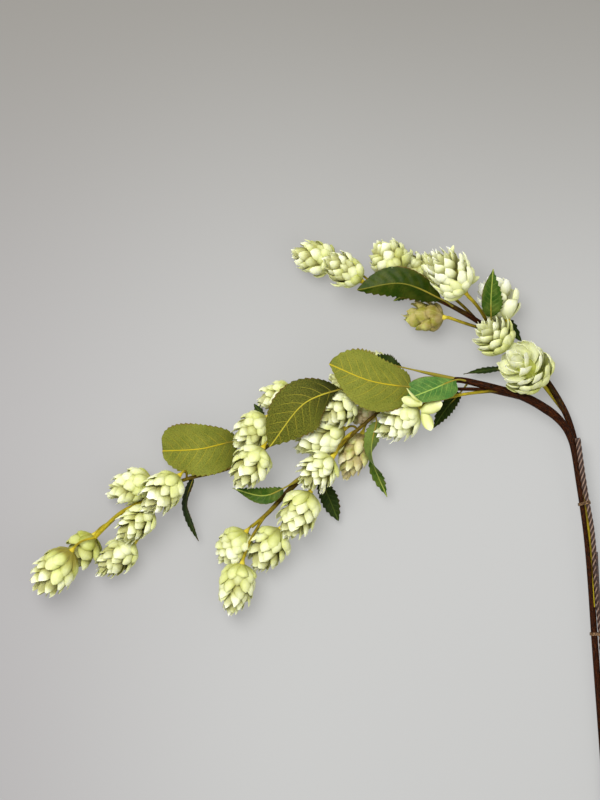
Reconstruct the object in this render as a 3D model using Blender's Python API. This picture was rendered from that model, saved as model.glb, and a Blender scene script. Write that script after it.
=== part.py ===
"""A cut hop bine lying on a table: a brown stem with a bound support rod, four branches, cones and leaves.

Metres, +Z up. The table is z = 0 and the origin is the middle of the ground that the bine covers.
Places are read off the photograph as from straight above, in pixels of its 600 x 800 frame, with a
height above the table in millimetres. A pixel is a millimetre at the bine's middle height, which makes
a leaf 85 mm long and a cone about 40 mm.
"""

import math
import random
from collections import namedtuple

import bmesh
import bpy
from mathutils import Matrix, Quaternion, Vector

MM = 0.001
FRAME_MIDDLE = (300.0, 400.0)  # the pixel straight below the eye
EYE_HEIGHT = 2500.0  # mm above the table
PIXEL_HEIGHT = 30.0  # the height in mm where a pixel is a millimetre
ORIGIN_PX = (320.0, 570.0)  # the pixel over the origin at that height
GAP = 0.3  # mm between touching pieces

STEM_SIDES = 2  # bevel_resolution, for 8 sides
TWIG_SIDES = 1  # for 6 sides
TWIG_POINTS = 4
TWIG_RADIUS = 0.9
TWIG_BEND = 0.45  # how far back along the cone's axis a stalk bends, as a share of its length
CUP_RADIUS = 2.6  # the stalk's flared cup under a cone
CUP_LENGTH = 5.0
FORK_STEPS = 10  # the steps between two points of a route when a fork is looked for along it

BRACTS_ROUND = 5
# Each ring of a cone, from its stalk to its tip: the share of its length, the share of its radius,
# and 1 for a row of bract tips, -1 for a row half a bract round from it, 0 for the step under one.
CONE_RINGS = (
    (0.05, 0.56, 0),
    (0.29, 0.96, 1),
    (0.31, 0.80, 0),
    (0.53, 1.00, -1),
    (0.55, 0.78, 0),
    (0.76, 0.86, 1),
    (0.78, 0.56, 0),
    (0.93, 0.50, -1),
)
BRACT_TIP = 0.07  # how far a bract's tip runs past its row, as a share of the cone's length
BRACT_NOTCH = 0.88  # the radius between two bracts
LAST_TIP = 0.985  # where the last row's tips end

LEAF_ROWS = 8
LEAF_STALK_ROWS = 2
LEAF_SPANS = 3  # foot to base, base to middle, middle to tip
SPINE_STEPS = 6  # the steps of a leaf's centre line in each span
SPINE_NEAR = 0.03  # the share of the line that its direction is read over
LEAF_THICK = 0.8
LEAF_STALK_WIDE = 1.8
LEAF_TOOTH = 0.09
LEAF_FULLNESS = 0.72  # under 1 makes the blade's ends rounder

Branch = namedtuple("Branch", "route radii sides steps finish")
Cone = namedtuple("Cone", "base tip width branch fork")
Leaf = namedtuple("Leaf", "branch fork base middle tip width widest roll twist fold")

# Each route: (pixel across, pixel down, height in mm), from the stem's side outwards, with the radii in mm
# along it. steps are those between two of its points, and finish is one of COLOURS.
BRANCHES = {
    "main_stem": Branch(
        [(613, 905, 3.8), (609, 845, 4.5), (605, 780, 6.5), (600, 712, 9), (595, 645, 12),
         (591, 585, 15), (585, 530, 18), (579, 480, 21), (573.5, 448, 22), (571.5, 438, 22.2)],
        [3.8, 3.6], STEM_SIDES, 1, "bark",
    ),
    "arch": Branch(
        [(571.35, 437.3, 22.2), (569.35, 427.3, 22.4), (561.5, 417, 23), (541.5, 404.5, 25.5), (520, 396, 28),
         (500, 390, 30), (480, 384.5, 32), (457, 380, 34), (428, 382, 35), (402, 387, 36)],
        [3.6, 3.4, 2.4, 1.9], STEM_SIDES, 2, "bark",
    ),
    "upper_branch": Branch(
        [(575.5, 441, 15.8), (572.3, 428, 15.8), (566.8, 413, 15.8), (558.5, 397, 15), (547, 381, 12),
         (532, 364, 8.5), (515, 349, 8.5), (497, 335, 15), (480, 323, 23), (461, 311, 28),
         (442, 301, 30), (418, 292, 28), (392, 285, 26), (371, 282, 25)],
        [2.5, 2.4, 2.0, 1.6, 1.2], TWIG_SIDES, 2, "twig",
    ),
    "left_branch": Branch(
        [(401, 387.5, 37), (374, 390, 35), (347, 389, 34), (320, 400, 31), (295, 420, 29),
         (268, 446, 24), (250, 456, 15), (232, 465, 19), (212, 471, 27), (190, 477, 30),
         (172, 485, 22), (152, 496, 19), (128, 507, 22), (110, 523, 30), (94, 538, 38)],
        [1.9, 1.8, 1.5, 1.2], TWIG_SIDES, 2, "twig",
    ),
    "lower_branch": Branch(
        [(401, 389, 32.5), (388, 402, 36), (376, 414, 38), (354, 433, 39), (336, 451, 33),
         (319, 467, 23), (303, 477, 25), (285, 495, 29), (268, 512, 30), (254, 525, 29)],
        [1.9, 1.8, 1.4, 1.2], TWIG_SIDES, 2, "twig",
    ),
}

# base and tip: (pixel across, pixel down, height in mm); width in mm; the branch that carries it, and
# the pixel beside which its stalk leaves that branch.
CONES = {
    "cone_upper_01": Cone((333, 266, 19), (295, 247, 13), 34, "upper_branch", (372, 281)),
    "cone_upper_02": Cone((360, 280, 38), (325, 253, 46), 36, "upper_branch", (376, 283)),
    "cone_upper_03": Cone((399, 266, 25), (376, 240, 20), 37, "upper_branch", (425, 294)),
    "cone_upper_04": Cone((424, 279, 15), (406, 263, 12), 24, "upper_branch", (448, 304)),
    "cone_upper_05": Cone((465, 291, 50), (440, 251, 61), 45, "upper_branch", (488, 328)),
    "cone_upper_06": Cone((450, 287, 24), (430, 256, 25), 27, "upper_branch", (472, 317)),
    "cone_upper_07": Cone((440, 317, 26), (408, 321, 14), 31, "upper_branch", (480, 323)),
    "cone_upper_08": Cone((505, 313, 24), (494, 273, 20), 40, "upper_branch", (512, 347)),
    "cone_upper_09": Cone((501, 346, 27), (487, 322, 57), 41, "upper_branch", (519, 352)),
    "cone_upper_10": Cone((543, 387, 27), (512, 353, 55), 52, "upper_branch", (566, 411)),
    "cone_middle_01": Cone((421, 409, 36), (382, 433, 34), 40, "arch", (493, 388)),
    "cone_middle_02": Cone((385, 374, 25), (360, 350, 19), 32, "left_branch", (392, 388)),
    "cone_middle_03": Cone((345, 386, 22), (325, 366, 15), 26, "left_branch", (362, 389)),
    "cone_middle_04": Cone((333, 419, 24), (346, 406, 57), 34, "left_branch", (322, 399)),
    "cone_middle_05": Cone((374, 407, 18), (353, 422, 13), 24, "lower_branch", (384, 405)),
    "cone_left_01": Cone((291, 388, 20), (257, 400, 15), 32, "left_branch", (308, 409)),
    "cone_left_02": Cone((265, 417, 32), (235, 443, 28), 38, "left_branch", (280, 434)),
    "cone_left_03": Cone((263, 451, 43), (238, 487, 45), 39, "left_branch", (272, 442)),
    "cone_left_04": Cone((181, 478, 44), (151, 514, 48), 40, "left_branch", (193, 476)),
    "cone_left_05": Cone((150, 478, 24), (106, 492, 17), 34, "left_branch", (178, 482)),
    "cone_left_06": Cone((151, 512, 29), (118, 540, 41), 36, "left_branch", (166, 488)),
    "cone_left_07": Cone((133, 546, 12), (97, 575, 19), 36, "left_branch", (142, 500)),
    "cone_left_08": Cone((93, 537, 18), (73, 562, 16), 32, "left_branch", (110, 523)),
    "cone_left_09": Cone((72, 556, 40), (29, 592, 26), 39, "left_branch", (95, 537)),
    "cone_lower_01": Cone((337, 429, 18), (298, 449, 18), 35, "lower_branch", (356, 431)),
    "cone_lower_02": Cone((362, 434, 20), (346, 477, 15), 34, "lower_branch", (374, 416)),
    "cone_lower_03": Cone((331, 458, 45), (301, 485, 47), 38, "lower_branch", (352, 435)),
    "cone_lower_04": Cone((307, 495, 38), (284, 539, 42), 42, "lower_branch", (300, 480)),
    "cone_lower_05": Cone((280, 533, 19), (257, 569, 16), 38, "lower_branch", (272, 508)),
    "cone_lower_06": Cone((246, 532, 22), (223, 559, 13), 34, "lower_branch", (258, 521)),
    "cone_lower_07": Cone((243, 565, 30), (231, 613, 24), 40, "lower_branch", (257, 522)),
}

# The cones that the bine rests on, besides the stem's cut end.
RESTING = ("cone_upper_01", "cone_upper_08", "cone_left_07", "cone_lower_05")

# fork is the pixel beside which the stalk leaves its branch; base and tip are the blade's ends, and middle
# is on its midrib. width is the blade's in mm and widest is where it is that wide, as a share of its length.
# roll turns it about its midrib, twist adds to that towards the tip, and fold lifts its two halves, all in
# degrees.
LEAVES = {
    "leaf_upper_01": Leaf(
        "upper_branch", (454, 307), (441, 299, 39), (402, 284, 44), (357, 290, 42),
        33, 0.45, -14, 0, 10,
    ),
    "leaf_upper_02": Leaf(
        "upper_branch", (432, 298), (424, 298, 20), (410, 299, 17), (394, 302, 12),
        16, 0.5, 0, 0, 8,
    ),
    "leaf_upper_03": Leaf(
        "upper_branch", (491, 330), (491, 316, 33), (491, 297, 49), (493, 268, 50),
        24, 0.5, 12, 10, 12,
    ),
    "leaf_upper_04": Leaf(
        "upper_branch", (488, 328), (499, 318, 13), (509, 322, 11), (520, 341, 7),
        13, 0.5, 10, 0, 5,
    ),
    "leaf_upper_05": Leaf(
        "upper_branch", (520, 353), (508, 366, 9), (490, 368, 12), (466, 374, 12),
        16, 0.5, 68, 0, 5,
    ),
    "leaf_middle_01": Leaf(
        "arch", (414, 385), (407, 387, 52), (370, 381, 66), (329, 364, 64),
        57, 0.54, 8, 0, 8,
    ),
    "leaf_middle_02": Leaf(
        "arch", (470, 382), (457, 381, 43), (434, 389, 45), (409, 399, 44),
        30, 0.4, 14, 0, 8,
    ),
    "leaf_middle_03": Leaf(
        "arch", (470, 382), (459, 397, 19), (447, 413, 14), (434, 430, 12),
        24, 0.5, 20, 0, 8,
    ),
    "leaf_middle_04": Leaf(
        "arch", (445, 380), (403, 369, 44), (386, 361, 46), (366, 356, 46),
        24, 0.5, 0, 0, 8,
    ),
    "leaf_left_01": Leaf(
        "left_branch", (342, 390), (333, 392, 55), (303, 407, 61), (272, 444, 54),
        50, 0.5, -8, 0, 8,
    ),
    "leaf_left_02": Leaf(
        "left_branch", (262, 450), (251, 441, 10), (258, 412, 8), (250, 408, 5),
        14, 0.5, 0, 0, 5,
    ),
    "leaf_left_03": Leaf(
        "left_branch", (259, 452), (238, 441, 15), (198, 447, 37), (160, 451, 17),
        53, 0.54, -6, 0, 6,
    ),
    "leaf_left_04": Leaf(
        "left_branch", (188, 478), (190, 486, 24), (184, 508, 14), (198, 541, 13),
        24, 0.45, 78, 0, 8,
    ),
    "leaf_lower_01": Leaf(
        "lower_branch", (374, 416), (374, 426, 36), (370, 455, 34), (388, 498, 15),
        18, 0.5, -55, 10, 10,
    ),
    "leaf_lower_02": Leaf(
        "lower_branch", (296, 484), (284, 491, 37), (262, 497, 33), (234, 490, 26),
        21, 0.45, 30, 0, 14,
    ),
    "leaf_lower_03": Leaf(
        "lower_branch", (316, 470), (319, 482, 15), (328, 498, 11), (338, 522, 10),
        22, 0.5, 12, 0, 6,
    ),
}

# The rods bound to the stem: the route and the radius. Each tie: the pixel where it goes round the stem.
RODS = {
    "twisted_rod": ([(579, 438, 22.5), (584, 470, 21.5), (589.5, 503, 20), (595, 543, 17.5), (600, 583, 15.5),
                     (603.5, 640, 12.5), (608, 700, 9.5)], 2.3),
    "plain_rod": ([(598.5, 552, 21.8), (603, 583, 20.2), (607, 625, 17.8), (611.5, 680, 15)], 1.3),
}
TIES = {"wire_tie_upper": (582, 504), "wire_tie_lower": (594.5, 640)}
TIE_WIRE = 0.5
TIE_POINTS = 12

COLOURS = {  # base colour, roughness
    "bark": ((0.10, 0.042, 0.025), 0.5),
    "twig": ((0.16, 0.10, 0.03), 0.5),
    "bract": ((0.66, 0.71, 0.42), 0.6),
    "leaf": ((0.17, 0.20, 0.045), 0.55),
    "rod": ((0.20, 0.14, 0.11), 0.6),
    "wire": ((0.13, 0.08, 0.05), 0.5),
}


def place(px, py, height):
    """The point in metres at a height in mm that shows at a pixel of the photograph."""
    scale = (EYE_HEIGHT - height) / (EYE_HEIGHT - PIXEL_HEIGHT)
    across = (px - FRAME_MIDDLE[0]) * scale + FRAME_MIDDLE[0] - ORIGIN_PX[0]
    up = (FRAME_MIDDLE[1] - py) * scale + ORIGIN_PX[1] - FRAME_MIDDLE[1]
    return Vector((across, up, height)) * MM


def smooth_route(points, per_span):
    """A Catmull-Rom curve through the points, with per_span steps between two of them."""
    ends = [points[0] * 2 - points[1], *points, points[-1] * 2 - points[-2]]
    route = []
    for a, b, c, d in zip(ends, ends[1:], ends[2:], ends[3:]):
        for step in range(per_span):
            t = step / per_span
            curved = (2 * a - 5 * b + 4 * c - d) * t**2 + (3 * b - a - 3 * c + d) * t**3
            route.append((2 * b + (c - a) * t + curved) / 2)
    return [*route, points[-1].copy()]


def mix_along(values, share):
    """The value at a share of the way along a list of values."""
    spot = min(share, 0.9999) * (len(values) - 1)
    low = int(spot)
    return values[low] + (values[low + 1] - values[low]) * (spot - low)


def material(name):
    made = bpy.data.materials.new(name)
    made.use_nodes = True
    shader = made.node_tree.nodes["Principled BSDF"]
    colour, roughness = COLOURS[name]
    shader.inputs["Base Color"].default_value = (*colour, 1.0)
    shader.inputs["Roughness"].default_value = roughness
    shader.inputs["Metallic"].default_value = 0.0
    return made


def add_mesh(name, mesh, collection, finish):
    mesh.materials.append(finish)
    obj = bpy.data.objects.new(name, mesh)
    collection.objects.link(obj)
    return obj


def tube_mesh(name, points, radii, sides, ring=False):
    """A closed mesh tube along the points, its radius in mm read along the list of radii."""
    curve = bpy.data.curves.new(name, "CURVE")
    curve.dimensions = "3D"
    curve.bevel_depth = MM
    curve.bevel_resolution = sides
    curve.use_fill_caps = not ring
    spline = curve.splines.new("POLY")
    spline.use_cyclic_u = ring
    spline.points.add(len(points) - 1)
    for i, (spot, point) in enumerate(zip(spline.points, points)):
        spot.co = (*point, 1.0)
        spot.radius = mix_along(radii, i / (len(points) - 1))
    guide = bpy.data.objects.new(name, curve)
    bpy.context.scene.collection.objects.link(guide)
    mesh = bpy.data.meshes.new_from_object(guide.evaluated_get(bpy.context.evaluated_depsgraph_get()))
    bpy.data.objects.remove(guide)
    shell = bmesh.new()
    shell.from_mesh(mesh)
    bmesh.ops.remove_doubles(shell, verts=shell.verts, dist=0.01 * MM)
    bmesh.ops.recalc_face_normals(shell, faces=shell.faces)
    shell.to_mesh(mesh)
    shell.free()
    mesh.shade_smooth()
    mesh.set_sharp_from_angle(angle=math.radians(50))
    return mesh


def branch_route(name, steps):
    return smooth_route([place(*point) for point in BRANCHES[name].route], steps)


def fork_of(name, pixel):
    """The point of a branch's centre line beside a pixel, its direction there and its radius in mm."""
    route = branch_route(name, FORK_STEPS)
    near = place(*pixel, PIXEL_HEIGHT)
    at = min(range(1, len(route) - 1), key=lambda i: (route[i].xy - near.xy).length)
    ahead = (route[at + 1] - route[at - 1]).normalized()
    return route[at], ahead, mix_along(BRANCHES[name].radii, at / (len(route) - 1))


def stalk_route(cone):
    """A stalk from its branch to the cup under a cone, bending into the cone's axis."""
    fork, _, _ = fork_of(cone.branch, cone.fork)
    base, tip = place(*cone.base), place(*cone.tip)
    axis = (tip - base).normalized()
    cup_end = base - axis * GAP * MM
    cup_start = cup_end - axis * CUP_LENGTH * MM
    bend = cup_start - axis * (cup_start - fork).length * TWIG_BEND
    points = []
    for step in range(TWIG_POINTS - 1):
        t = step / (TWIG_POINTS - 2)
        points.append(fork * (1 - t) ** 2 + bend * 2 * t * (1 - t) + cup_start * t**2)
    return [*points, cup_end]


def make_branch(name, cones, collection, cutters, finish):
    """A branch's tube with the stalks of its cones joined to it."""
    branch = BRANCHES[name]
    mesh = tube_mesh(name, branch_route(name, branch.steps), branch.radii, branch.sides)
    obj = add_mesh(name, mesh, collection, finish)
    radii = [TWIG_RADIUS] * (TWIG_POINTS - 1) + [CUP_RADIUS]
    for cone_name, cone in cones.items():
        if cone.branch != name:
            continue
        stalk = add_mesh(
            cone_name + "_stalk", tube_mesh(cone_name, stalk_route(cone), radii, TWIG_SIDES), cutters, finish
        )
        stalk.hide_render = True
        stalk.display_type = "WIRE"
        join = obj.modifiers.new(stalk.name, "BOOLEAN")
        join.operation = "UNION"
        join.object = stalk
    return obj


def cone_mesh(name, length, radius, rng):
    """An egg of overlapping bracts from z = 0 to its length, one ring of vertices for each of CONE_RINGS."""
    shell = bmesh.new()
    bmesh.ops.create_uvsphere(shell, u_segments=2 * BRACTS_ROUND, v_segments=len(CONE_RINGS) + 1, radius=1)
    levels = sorted({round(v.co.z, 5) for v in shell.verts})
    for vert in shell.verts:
        level = levels.index(round(vert.co.z, 5))
        if level == 0 or level == len(levels) - 1:
            vert.co = Vector((0, 0, 0 if level == 0 else length))
            continue
        share, spread, row = CONE_RINGS[level - 1]
        turn = math.atan2(vert.co.y, vert.co.x)
        if row:
            side = round(turn / math.pi * BRACTS_ROUND) % 2
            on_bract = side == (0 if row > 0 else 1)
            share += (BRACT_TIP if on_bract else -BRACT_TIP) * rng.uniform(0.7, 1.1)
            spread *= (1.0 if on_bract else BRACT_NOTCH) * rng.uniform(0.95, 1.0)
        share = min(share, LAST_TIP)
        vert.co = Vector((math.cos(turn) * spread * radius, math.sin(turn) * spread * radius, share * length))
    bmesh.ops.recalc_face_normals(shell, faces=shell.faces)
    mesh = bpy.data.meshes.new(name)
    shell.to_mesh(mesh)
    shell.free()
    return mesh


def shaped_cone(name, cone):
    """A cone's mesh, and the matrix that puts it on its stalk."""
    base, tip = place(*cone.base), place(*cone.tip)
    axis = tip - base
    rng = random.Random(name)
    mesh = cone_mesh(name, axis.length, cone.width / 2 * MM, rng)
    turn = Matrix.Rotation(rng.uniform(0, math.tau), 4, "Z")
    return mesh, Matrix.Translation(base) @ axis.to_track_quat("Z", "Y").to_matrix().to_4x4() @ turn


def laid_down(name, cone):
    """The cone with its heights lowered or raised so that its lowest bract touches the table."""
    mesh, matrix = shaped_cone(name, cone)
    lowest = min((matrix @ vert.co).z for vert in mesh.vertices) / MM
    bpy.data.meshes.remove(mesh)
    base, tip = ((*end[:2], end[2] - lowest) for end in (cone.base, cone.tip))
    return cone._replace(base=base, tip=tip)


def make_cone(name, cone, collection, finish):
    mesh, matrix = shaped_cone(name, cone)
    obj = add_mesh(name, mesh, collection, finish)
    obj.matrix_world = matrix
    return obj


def half_width(leaf, share, row):
    """Half the blade's width in mm at a share of its length, with a tooth at every other row."""
    rounded = math.sin(math.pi * share ** (math.log(0.5) / math.log(leaf.widest))) ** LEAF_FULLNESS
    tooth = 1 + (LEAF_TOOTH if row % 2 else -LEAF_TOOTH)
    return max(leaf.width / 2 * rounded * tooth, LEAF_STALK_WIDE / 3)


def leaf_spine(leaf):
    """The leaf's centre line, from its foot beside the branch to its tip."""
    fork, along, radius = fork_of(leaf.branch, leaf.fork)
    out = place(*leaf.base) - fork
    out = (out - along * out.dot(along)).normalized()
    foot = fork + out * (radius + LEAF_STALK_WIDE * 0.75 + GAP) * MM
    return smooth_route([foot, *(place(*p) for p in (leaf.base, leaf.middle, leaf.tip))], SPINE_STEPS)


def leaf_mesh(name, leaf):
    """A thin grid laid along the spine: narrow and thick for the stalk, then wide and thin for the blade."""
    spine = leaf_spine(leaf)
    sheet = bmesh.new()
    bmesh.ops.create_grid(sheet, x_segments=2, y_segments=LEAF_ROWS, size=1)
    bmesh.ops.solidify(sheet, geom=sheet.faces[:], thickness=1)
    lowest = min(v.co.z for v in sheet.verts)
    for vert in sheet.verts:
        row = round((vert.co.y + 1) / 2 * LEAF_ROWS)
        if row <= LEAF_STALK_ROWS:
            spot, half, thick = row / LEAF_STALK_ROWS / LEAF_SPANS, LEAF_STALK_WIDE / 2, LEAF_STALK_WIDE
        else:
            share = (row - LEAF_STALK_ROWS) / (LEAF_ROWS - LEAF_STALK_ROWS)
            spot, half, thick = (1 + share * 2) / LEAF_SPANS, half_width(leaf, share, row), LEAF_THICK
        ahead = mix_along(spine, min(spot + SPINE_NEAR, 1)) - mix_along(spine, max(spot - SPINE_NEAR, 0))
        side = ahead.cross(Vector((0, 0, 1))).normalized()
        side.rotate(Quaternion(ahead.normalized(), math.radians(leaf.roll + leaf.twist * spot)))
        up = side.cross(ahead).normalized()
        lift = abs(vert.co.x) * half * math.sin(math.radians(leaf.fold))
        layer = vert.co.z - lowest - 0.5
        across = side * vert.co.x * half + up * (layer * thick + lift)
        vert.co = mix_along(spine, spot) + across * MM
    if sheet.calc_volume(signed=True) < 0:
        bmesh.ops.reverse_faces(sheet, faces=sheet.faces)
    mesh = bpy.data.meshes.new(name)
    sheet.to_mesh(mesh)
    sheet.free()
    return mesh


def make_tie(name, pixel, collection, finish):
    """A wire loop drawn tight round the stem and the rod beside it."""
    stem, ahead, stem_radius = fork_of("main_stem", pixel)
    rod_points, rod_radius = RODS["twisted_rod"]
    rod_route = smooth_route([place(*p) for p in rod_points], FORK_STEPS)
    rod = min(rod_route, key=lambda p: abs((p - stem).dot(ahead)))
    across = (rod - stem).normalized()
    up = ahead.cross(across)
    loop = []
    for step in range(TIE_POINTS):
        angle = math.tau * step / TIE_POINTS
        out = across * math.cos(angle) + up * math.sin(angle)
        held = ((stem, stem_radius), (rod, rod_radius))
        middle, radius = max(held, key=lambda item: item[0].dot(out) + item[1] * MM)
        loop.append(middle + out * (radius + 2 * GAP + TIE_WIRE) * MM)
    mesh = tube_mesh(name, loop, [TIE_WIRE, TIE_WIRE], TWIG_SIDES, ring=True)
    return add_mesh(name, mesh, collection, finish)


def main():
    for obj in list(bpy.data.objects):
        bpy.data.objects.remove(obj)
    bine = bpy.data.collections.new("hop_bine")
    cutters = bpy.data.collections.new("cutters")
    bpy.context.scene.collection.children.link(bine)
    bpy.context.scene.collection.children.link(cutters)
    finishes = {name: material(name) for name in COLOURS}
    cones = {name: laid_down(name, cone) if name in RESTING else cone for name, cone in CONES.items()}
    for name, branch in BRANCHES.items():
        make_branch(name, cones, bine, cutters, finishes[branch.finish])
    for name, cone in cones.items():
        make_cone(name, cone, bine, finishes["bract"])
    for name, leaf in LEAVES.items():
        add_mesh(name, leaf_mesh(name, leaf), bine, finishes["leaf"])
    for name, (route, radius) in RODS.items():
        points = [place(*p) for p in route]
        add_mesh(name, tube_mesh(name, points, [radius, radius], STEM_SIDES), bine, finishes["rod"])
    for name, pixel in TIES.items():
        make_tie(name, pixel, bine, finishes["wire"])


main()
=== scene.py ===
import math
import random

import bmesh
import bpy
from mathutils import Matrix, Quaternion, Vector


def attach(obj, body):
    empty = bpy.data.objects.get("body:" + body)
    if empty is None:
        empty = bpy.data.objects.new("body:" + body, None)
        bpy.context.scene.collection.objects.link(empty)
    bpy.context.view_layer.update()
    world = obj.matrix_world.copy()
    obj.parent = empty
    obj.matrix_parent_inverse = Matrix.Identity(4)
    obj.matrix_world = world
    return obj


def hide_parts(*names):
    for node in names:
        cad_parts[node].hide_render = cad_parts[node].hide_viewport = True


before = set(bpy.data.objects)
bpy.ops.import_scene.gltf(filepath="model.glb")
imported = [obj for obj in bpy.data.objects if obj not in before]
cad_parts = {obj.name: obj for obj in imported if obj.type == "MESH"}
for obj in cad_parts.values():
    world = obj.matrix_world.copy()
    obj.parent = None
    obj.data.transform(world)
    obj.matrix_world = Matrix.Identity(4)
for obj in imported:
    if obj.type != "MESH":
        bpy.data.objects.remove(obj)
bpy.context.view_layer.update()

mm = 0.001
up = Vector((0, 0, 1))
photo = {
    "high": 800,  # pixels
    "middle": (300.0, 400.0),  # the pixel straight below the camera
    "overOrigin": (320.0, 570.0),
    "eye": 2500.0,  # mm from the table to the camera
    "level": 30.0,  # at this height in mm a pixel is a millimetre
}


def place(px, py, height):  # the point in metres, at a height in mm, that shows at a pixel
    scale = (photo["eye"] - height) / (photo["eye"] - photo["level"])
    middleX, middleY = photo["middle"]
    across = (px - middleX) * scale + middleX - photo["overOrigin"][0]
    along = (middleY - py) * scale + photo["overOrigin"][1] - middleY
    return Vector((across, along, height)) * mm


def pixels(right, down):  # a shift of some pixels, in metres
    return Vector((right, -down, 0)) * mm


def smoothRoute(points, perSpan):  # a Catmull-Rom curve through the points
    ends = [points[0] * 2 - points[1], *points, points[-1] * 2 - points[-2]]
    route = []
    for a, b, c, d in zip(ends, ends[1:], ends[2:], ends[3:]):
        for step in range(perSpan):
            t = step / perSpan
            curved = (2 * a - 5 * b + 4 * c - d) * t**2 + (3 * b - a - 3 * c + d) * t**3
            route.append((2 * b + (c - a) * t + curved) / 2)
    return [*route, points[-1].copy()]


def mixAlong(values, share):  # the value at a share of the way along a list
    spot = min(max(share, 0.0), 0.9999) * (len(values) - 1)
    low = int(spot)
    return values[low] + (values[low + 1] - values[low]) * (spot - low)


def blend(low, high, share):
    return low + (high - low) * share


def tint(code):  # a colour written as on a paint card, made linear
    parts = [int(code[i : i + 2], 16) / 255 for i in (0, 2, 4)]
    linear = [c / 12.92 if c < 0.04045 else ((c + 0.055) / 1.055) ** 2.4 for c in parts]
    return (*linear, 1.0)


class Paint:  # a socket in a material's nodes, which sums and products can be written with
    def __init__(self, tree, socket=None):
        self.tree = tree
        self.socket = socket

    def node(self, kind, settings=None, inputs=None, output=0):
        made = self.tree.nodes.new(kind)
        for key, value in (settings or {}).items():
            setattr(made, key, value)
        for key, value in (inputs or {}).items():
            if isinstance(value, Paint):
                self.tree.links.new(value.socket, made.inputs[key])
            else:
                made.inputs[key].default_value = value
        return Paint(self.tree, made.outputs[output])

    def maths(self, operation, *values, clamp=False):
        settings = {"operation": operation, "use_clamp": clamp}
        return self.node("ShaderNodeMath", settings, dict(enumerate(values)))

    def __add__(self, other):
        return self.maths("ADD", self, other)

    __radd__ = __add__

    def __sub__(self, other):
        return self.maths("SUBTRACT", self, other)

    def __rsub__(self, other):
        return self.maths("SUBTRACT", other, self)

    def __mul__(self, other):
        return self.maths("MULTIPLY", self, other)

    __rmul__ = __mul__

    def __truediv__(self, other):
        return self.maths("DIVIDE", self, other)

    def __rtruediv__(self, other):
        return self.maths("DIVIDE", other, self)

    def size(self):
        return self.maths("ABSOLUTE", self)

    def fade(self, low, high):  # 0 at low and 1 at high, softly
        inputs = {"Value": self, "From Min": low, "From Max": high}
        return self.node("ShaderNodeMapRange", {"interpolation_type": "SMOOTHSTEP"}, inputs)

    def read(self, name, output="Vector"):  # one of the piece's own attributes
        return self.node("ShaderNodeAttribute", {"attribute_name": name}, output=output)

    def where(self):  # the place on the piece
        return self.node("ShaderNodeTexCoord", output="Object")

    def parts(self):
        return [self.node("ShaderNodeSeparateXYZ", None, {0: self}, output=i) for i in range(3)]

    def join(self, *values):
        return self.node("ShaderNodeCombineXYZ", None, dict(enumerate(values)))

    def noise(self, scale, detail=3.0, rough=0.5):
        inputs = {"Vector": self, "Scale": scale, "Detail": detail, "Roughness": rough}
        return self.node("ShaderNodeTexNoise", None, inputs)

    def mix(self, first, second):  # the socket is how much of the second colour
        inputs = {0: self, 6: first, 7: second}
        return self.node("ShaderNodeMix", {"data_type": "RGBA"}, inputs, output=2)

    def bump(self, strength, distance):
        inputs = {"Height": self, "Strength": strength, "Distance": distance}
        return self.node("ShaderNodeBump", None, inputs)


def newMaterial(name, constants):  # the material, its Paint, and a function that links one socket
    made = bpy.data.materials.new(name)
    made.use_nodes = True
    shader = made.node_tree.nodes["Principled BSDF"]
    for key, value in constants.items():
        shader.inputs[key].default_value = value

    def feed(key, value):
        made.node_tree.links.new(value.socket, shader.inputs[key])

    return made, Paint(made.node_tree), feed


print("materials")

barkPaint = {
    "dark": tint("0b0301"),
    "brown": tint("3c1903"),
    "streak": tint("8e5a28"),
    "olive": tint("77701c"),
    "yellow": tint("b5a022"),
    "pale": tint("cfc048"),
    "streaks": 1.6,  # how fine its noises are
    "fibres": 5.0,
    "mottle": 90,
    "shine": 0.06,
    "rough": 0.38,
    "bump": (0.6, 0.0006),  # strength, and depth in metres
}


def barkMaterial():  # tone runs from 0, brown stem, over 1, olive stalk, to 2, the yellow cup under a cone
    made, paint, feed = newMaterial("stemBark", {"Specular IOR Level": barkPaint["shine"]})
    grain = paint.read("spot")
    tone = paint.read("tone", "Fac")
    streaks = grain.noise(barkPaint["streaks"], 4, 0.6)
    fine = grain.noise(barkPaint["fibres"], 3, 0.6)
    mottled = paint.where().noise(barkPaint["mottle"])
    brown = streaks.fade(0.4, 0.66).mix(barkPaint["dark"], barkPaint["brown"])
    brown = (fine.fade(0.58, 0.74) * 0.55).mix(brown, barkPaint["streak"])
    olive = streaks.fade(0.3, 0.7).mix(barkPaint["olive"], barkPaint["yellow"])
    yellow = mottled.fade(0.35, 0.7).mix(barkPaint["yellow"], barkPaint["pale"])
    greened = (tone + (mottled - 0.5) * 0.5).fade(0.15, 0.95).mix(brown, olive)
    feed("Base Color", tone.fade(1.2, 1.9).mix(greened, yellow))
    feed("Roughness", fine * 0.25 + barkPaint["rough"])
    feed("Normal", (streaks * 0.7 + fine * 0.3).bump(*barkPaint["bump"]))
    return made


bractPaint = {
    # the first colour is painted shade for the creases between bracts; deep is a darker green for a bract's
    # least white parts, and also painted shade under the cone's round outside
    "creaseShade": tint("7a6e1c"),
    "deep": tint("a3a946"),
    "green": tint("d2d68a"),
    "cream": tint("f0f2c6"),
    "white": tint("fffff0"),
    "blush": tint("d9b893"),
    "speck": tint("8a5a30"),
    "clouds": 110,  # how fine its noises are
    "specks": 420,
    "weave": 1500,
    "fibres": (9.0, 1.2, 37.0),  # the same across it, along it and from one bract to the next
    "rough": 0.5,
    "bump": (0.35, 0.0005),
}


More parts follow.
